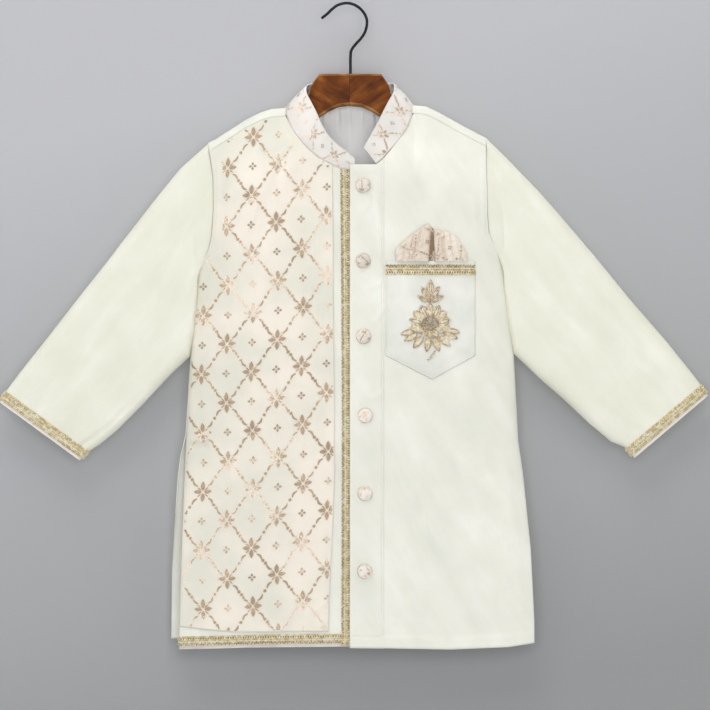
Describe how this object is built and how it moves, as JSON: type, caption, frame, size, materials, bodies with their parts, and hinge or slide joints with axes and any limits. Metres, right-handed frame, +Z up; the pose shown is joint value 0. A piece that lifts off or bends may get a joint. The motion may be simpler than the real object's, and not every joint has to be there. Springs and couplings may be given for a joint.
{
  "type": "child's kurta on a wooden hanger",
  "caption": "Child's long-sleeved kurta with a stand collar, brocade front panel, gold braid and covered buttons, hanging on a wooden hanger with a wire hook.",
  "frame": {"origin": "inside of the hook's top, where a rail carries it", "axes": "+X to the wearer's left, -Y to the garment's front, +Z up"},
  "size_m": [0.7419, 0.0594, 0.6751],
  "materials": {
    "cream_cloth": "soft satin sheen",
    "white_lining": "matt plain weave",
    "brocade": "cream ground with a rose-gold woven lattice",
    "gold_braid": "metallic thread",
    "hanger_wood": "brown varnish",
    "hook_wire": "black satin"
  },
  "bodies": {
    "root": {"front_right_base": "cream_cloth", "front_right_overlay": "brocade", "braid_front": "gold_braid", "braid_hem": "gold_braid", "hem_facing": "white_lining", "front_left": "cream_cloth", "placket": "cream_cloth", "back": "cream_cloth", "back_neck_lining": "white_lining", "sleeve_right": "cream_cloth", "braid_cuff_right": "gold_braid", "cuff_lining_right": "white_lining", "sleeve_left": "cream_cloth", "braid_cuff_left": "gold_braid", "cuff_lining_left": "white_lining", "collar": "brocade", "pocket": "white_lining", "braid_pocket": "gold_braid", "pocket_square": "brocade", "pocket_motif": "gold_braid", "button_1": "brocade", "button_2": "brocade", "button_3": "brocade", "button_4": "brocade", "button_5": "brocade", "button_6": "brocade", "hanger_wood": "hanger_wood", "hanger_hook": "hook_wire"}
  },
  "joints": []
}
